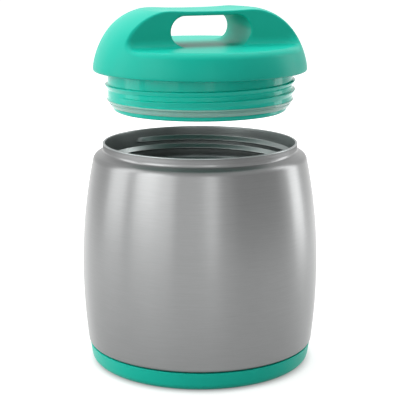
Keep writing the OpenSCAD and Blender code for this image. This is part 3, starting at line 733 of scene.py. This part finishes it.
def surface_net(field, xs, ys, zs):
    """Points and faces of the surface where a field is zero. Each grid cell that the surface crosses gets
    one point, at the mean of the crossings on the cell's edges, and each grid edge that it crosses gets
    one face between the four cells round that edge."""
    grid = np.stack(np.meshgrid(xs, ys, zs, indexing="ij"), -1)
    value = field(*np.moveaxis(grid, -1, 0))
    inside = value < 0
    cells = tuple(n - 1 for n in value.shape)
    total = np.zeros(cells + (3,))
    count = np.zeros(cells)
    crossings = []
    for axis in range(3):
        b, c = (axis + 1) % 3, (axis + 2) % 3
        start, end = [slice(None)] * 3, [slice(None)] * 3
        start[axis], end[axis] = slice(None, -1), slice(1, None)
        start, end = tuple(start), tuple(end)
        cut = inside[start] != inside[end]
        share = np.where(cut, value[start] / np.where(cut, value[start] - value[end], 1), 0)
        place = grid[start] + share[..., None] * (grid[end] - grid[start])
        crossings.append((cut, inside[start]))
        for on_b in (0, 1):
            for on_c in (0, 1):
                pick = [slice(None)] * 3
                pick[b], pick[c] = slice(on_b, on_b + cells[b]), slice(on_c, on_c + cells[c])
                pick = tuple(pick)
                count += cut[pick]
                total += cut[pick][..., None] * place[pick]
    crossed = count > 0
    index = np.full(cells, -1)
    index[crossed] = np.arange(crossed.sum())
    faces = []
    for axis, (cut, starts_inside) in enumerate(crossings):
        b, c = (axis + 1) % 3, (axis + 2) % 3
        core = [slice(None)] * 3
        core[b], core[c] = slice(1, -1), slice(1, -1)
        edge = np.argwhere(cut[tuple(core)])
        edge[:, [b, c]] += 1
        ring = []
        for back_b, back_c in ((0, 0), (1, 0), (1, 1), (0, 1)):
            cell = edge.copy()
            cell[:, b] -= back_b
            cell[:, c] -= back_c
            ring.append(index[tuple(cell.T)])
        quad = np.stack(ring, -1)
        outward = starts_inside[tuple(edge.T)]
        faces.append(np.where(outward[:, None], quad, quad[:, ::-1]))
    return total[crossed] / count[crossed][:, None], np.concatenate(faces)


def field_slope(field, p):
    """The field's slope at points, by differences over 0.02 mm."""
    d = 0.01
    return np.stack([(field(*(p + d * e).T) - field(*(p - d * e).T)) / (2 * d) for e in np.eye(3)], -1)


def normals(field, p):
    """The slope with a length of 1, which points straight out of the surface."""
    slope = field_slope(field, p)
    return slope / np.maximum(np.linalg.norm(slope, axis=1, keepdims=True), 1e-9)


def settled(field, p):
    """Points moved down the slope until the field is zero there, in three steps of 0.3 mm at most."""
    for _ in range(3):
        slope = field_slope(field, p)
        move = field(*p.T)[:, None] * slope / np.maximum(np.sum(slope * slope, 1), 0.05)[:, None]
        size = np.linalg.norm(move, axis=1, keepdims=True)
        p = p - move * np.minimum(1, 0.3 / np.maximum(size, 1e-9))
    return p


def evened(field, points, faces):
    """Points spread evenly over the surface: three times they go 0.6 of the way to their neighbours' mean,
    along the surface only, and settle on it."""
    pairs = np.concatenate([faces[:, [k, (k + 1) % 4]] for k in range(4)])
    pairs = np.concatenate([pairs, pairs[:, ::-1]])
    degree = np.bincount(pairs[:, 0], minlength=len(points))
    for _ in range(3):
        total = np.stack([np.bincount(pairs[:, 0], points[pairs[:, 1], k], len(points)) for k in range(3)])
        pull = total.T / degree[:, None] - points
        out = normals(field, points)
        pull -= np.sum(pull * out, 1, keepdims=True) * out
        points = settled(field, points + 0.6 * pull)
    return points


def graded(stops, steps):
    """Grid line positions, from each stop to the next in equal steps of about the size given there."""
    parts = [np.linspace(a, b, max(1, round((b - a) / s)), endpoint=False)
             for a, b, s in zip(stops, stops[1:], steps)]
    return np.concatenate([*parts, [stops[-1]]])


# Grid lines lie closer at the rim, the shelf, the scoops' edges and the top than over the smooth dome.
lines_x = graded([-54, -15, 15, 54], [0.75, 0.85, 0.75])
lines_beside = graded([0.35, 15, 26, 54], [0.8, 0.55, 0.8])
lines_y = np.concatenate([-lines_beside[::-1], lines_beside])
lines_z = RIM_Z + graded([-1.1, 1.5, 11, 15, 26, 33], [0.5, 0.9, 0.6, 0.8, 0.5])
cap_points, cap_faces = surface_net(cap_field, lines_x, lines_y, lines_z)
cap_points = evened(cap_field, settled(cap_field, cap_points), cap_faces)
lid_cap = make_object("lid_dome", cap_points, [cap_faces])
lid_cap.data.normals_split_custom_set_from_vertices(normals(cap_field, cap_points))
dress(lid_cap, satin_polypropylene("satin_polypropylene_lid", *LID_TEAL))
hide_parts("lid_cap")
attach(lid_cap, "lid")

# ------------------------------------------------------------------ lid plug
# Glossy moulded cup that is welded under the cap. It carries the outside thread, with a steep upper flank
# that pulls the lid down, and a groove above its lower lip for the gasket.

plug_low, plug_high = (np.array(c) * 1000 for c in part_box("lid_plug"))
gasket_low, gasket_high = (np.array(c) * 1000 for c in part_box("gasket"))
PLUG_R = 45.6
PLUG_LIP_R = 43.0
GROOVE_R = 41.5
PLUG_WALL = 2.0
FLANGE_R, FLANGE_H = HOLLOW_R - 0.1, 1.8  # it fits into the rim's hollow
LID_RIDGE = 1.35
LID_THREAD_TURNS = 1.6
LID_THREAD_START = -170   # degrees round the axis
LID_THREAD_FADE = 24      # degrees over which it runs out at each end
LID_FLANK_Z = 138.93
ZONE_SPARE = 0.4          # what the zone of fine mesh rows reaches past the thread
lid_zone = (LID_FLANK_Z + THREAD_LEAD * LID_THREAD_START / 360 - THREAD_FOOT - ZONE_SPARE,
            LID_FLANK_Z + THREAD_LEAD * (LID_THREAD_START / 360 + LID_THREAD_TURNS) + ZONE_SPARE)
GROOVE_TOP = gasket_high[2] + 0.1         # a little play over the gasket
ceiling = plug_high[2]


def outer_thread(angle, r, z):
    """Radius of the plug's wall where the moulded thread stands out."""
    push = ridge(angle, z, LID_FLANK_Z, -1, LID_THREAD_START, LID_THREAD_TURNS, LID_THREAD_FADE)
    near = (z > lid_zone[0]) & (z < lid_zone[1]) & (r > PLUG_R - 0.01)
    return r + LID_RIDGE * push * near


def glossy_polypropylene():
    """The same plastic from a polished mould: sharper highlights over the faintest ripple. Its teal is
    lighter than the lid's: painted light, brightening the plug that sits in the cap's shade.
    """
    RIPPLE = 0.012
    made = bpy.data.materials.new("glossy_polypropylene")
    tree = emptied(made)
    place = add(tree, "ShaderNodeTexCoord").outputs["Object"]
    ripple = add(tree, "ShaderNodeTexNoise", {}, {"Vector": place, "Scale": 1 / RIPPLE, "Detail": 1.0})
    # painted light: the plug's teal is set lighter than the lid's
    tone = add(tree, "ShaderNodeMix", {"data_type": "RGBA"}, {
        MIX_SHARE: ripple.outputs["Fac"], MIX_FIRST: linear("#10BAA4"), MIX_SECOND: linear("#14BFAA")})
    rough = add(tree, "ShaderNodeMapRange", {}, {"Value": ripple.outputs["Fac"], "From Min": NOISE_LOW,
                                                 "From Max": NOISE_HIGH, "To Min": 0.08, "To Max": 0.14})
    bump = add(tree, "ShaderNodeBump", {}, {"Height": ripple.outputs["Fac"], "Strength": 0.1,
                                            "Distance": 0.0002})
    body = add(tree, "ShaderNodeBsdfPrincipled", {}, {
        "Base Color": tone.outputs[MIX_RESULT], "Roughness": rough.outputs[0], "IOR": 1.49,
        "Specular IOR Level": 0.15, "Normal": bump.outputs[0]})
    add(tree, "ShaderNodeOutputMaterial", {}, {"Surface": body.outputs[0]})
    return made


zone_z = np.arange(*lid_zone, SEEN_STEP)
cup_r = GROOVE_R - PLUG_WALL
plug_foot = rounded([
    (0, plug_low[2], 0), (PLUG_LIP_R, plug_low[2], 1.2), (PLUG_LIP_R, gasket_low[2], 0.3),
    (GROOVE_R, gasket_low[2], 0), (GROOVE_R, GROOVE_TOP, 0), (PLUG_R, GROOVE_TOP, 0.3),
    (PLUG_R, lid_zone[0], 0), (0, lid_zone[0], 0)])[:-1]
plug_head = rounded([
    (PLUG_R, lid_zone[1], 0), (PLUG_R, ceiling - FLANGE_H, 0.4), (FLANGE_R, ceiling - FLANGE_H, 0.3),
    (FLANGE_R, ceiling, CEILING_CORNER), (PLUG_R - PLUG_WALL, ceiling, 0.3),
    (PLUG_R - PLUG_WALL, gasket_high[2] + PLUG_WALL, 0.4), (cup_r, gasket_high[2] + PLUG_WALL, 0.4),
    (cup_r, plug_low[2] + PLUG_WALL, 0.6), (0, plug_low[2] + PLUG_WALL, 0)])
lid_plug = lathe("plug_cup", np.concatenate([
    plug_foot, np.column_stack([np.full_like(zone_z, PLUG_R), zone_z]), plug_head]), 288, outer_thread)
dress(lid_plug, glossy_polypropylene())
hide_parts("lid_plug")
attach(lid_plug, "lid")

# ------------------------------------------------------------------ insulating disc
# White expanded polystyrene that fills the lid between plug and cap. Its beads were steamed together in a
# mould, and the seams between them stay visible.


def expanded_polystyrene():
    """White foam of beads about 3 mm wide, with a fine dark seam between them."""
    BEAD = 0.003
    made = bpy.data.materials.new("expanded_polystyrene")
    tree = emptied(made)
    place = add(tree, "ShaderNodeTexCoord").outputs["Object"]
    beads = add(tree, "ShaderNodeTexVoronoi", {"feature": "DISTANCE_TO_EDGE"},
                {"Vector": place, "Scale": 1 / BEAD})
    seam = add(tree, "ShaderNodeMapRange", {}, {"Value": beads.outputs["Distance"], "From Max": 0.15})
    tone = add(tree, "ShaderNodeMix", {"data_type": "RGBA"}, {
        MIX_SHARE: seam.outputs[0], MIX_FIRST: linear("#D6D6D2"), MIX_SECOND: linear("#F2F2EF")})
    bump = add(tree, "ShaderNodeBump", {}, {"Height": seam.outputs[0], "Strength": 0.5,
                                            "Distance": 0.0002})
    foam = add(tree, "ShaderNodeBsdfPrincipled", {}, {
        "Base Color": tone.outputs[MIX_RESULT], "Roughness": 0.85, "Normal": bump.outputs[0]})
    add(tree, "ShaderNodeOutputMaterial", {}, {"Surface": foam.outputs[0]})
    return made


dress(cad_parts["lid_foam"], expanded_polystyrene())

# ------------------------------------------------------------------ gasket
# Moulded silicone ring, pushed over the plug's lip into its groove. It widens upwards to a soft bead, with
# a second, lower bead under a shallow waist.

gasket_foot, gasket_top = gasket_low[2], gasket_high[2]
WIDE_R, NARROW_R = gasket_high[0], 44.1
BEAD_OUT, BEAD_UP = 0.85, 1.5             # second bead, out from the narrow foot and up from it
WAIST_OUT, WAIST_UP = 0.75, 2.1           # waist above it
TOP_BEAD_H = 0.55         # height of the upper bead, which leans back a little
TOP_BEAD_LEAN = 0.1


def silicone():
    """Milky grey silicone: a soft body that lets a little light in, under a slightly waxy gloss, and a
    painted teal tint that stands in for the plug's colour showing through it.
    """
    CLOUD = 0.004
    made = bpy.data.materials.new("milky_silicone")
    tree = emptied(made)
    place = add(tree, "ShaderNodeTexCoord").outputs["Object"]
    cloud = add(tree, "ShaderNodeTexNoise", {}, {"Vector": place, "Scale": 1 / CLOUD, "Detail": 2.0})
    # painted light: the teal in these greys stands in for the plug's colour seen through the silicone
    tone = add(tree, "ShaderNodeMix", {"data_type": "RGBA"}, {
        MIX_SHARE: cloud.outputs["Fac"], MIX_FIRST: linear("#7DB0A4"), MIX_SECOND: linear("#89BCAF")})
    bump = add(tree, "ShaderNodeBump", {}, {"Height": cloud.outputs["Fac"], "Strength": 0.1,
                                            "Distance": 0.0001})
    body = add(tree, "ShaderNodeBsdfPrincipled", {}, {
        "Base Color": tone.outputs[MIX_RESULT], "Roughness": 0.22, "IOR": 1.41, "Subsurface Weight": 0.15,
        "Subsurface Scale": 0.001, "Normal": bump.outputs[0]})
    add(tree, "ShaderNodeOutputMaterial", {}, {"Surface": body.outputs[0]})
    return made


gasket = lathe("silicone_gasket", rounded([
    (GROOVE_R, gasket_foot, 0.2), (NARROW_R, gasket_foot, 0.5),
    (NARROW_R + BEAD_OUT, gasket_foot + BEAD_UP, 0.6), (NARROW_R + WAIST_OUT, gasket_foot + WAIST_UP, 0.4),
    (WIDE_R, gasket_top - TOP_BEAD_H, 0.35), (WIDE_R - TOP_BEAD_LEAN, gasket_top, 0.2),
    (GROOVE_R, gasket_top, 0.2)], 6))
dress(gasket, silicone())
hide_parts("gasket")
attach(gasket, "lid")
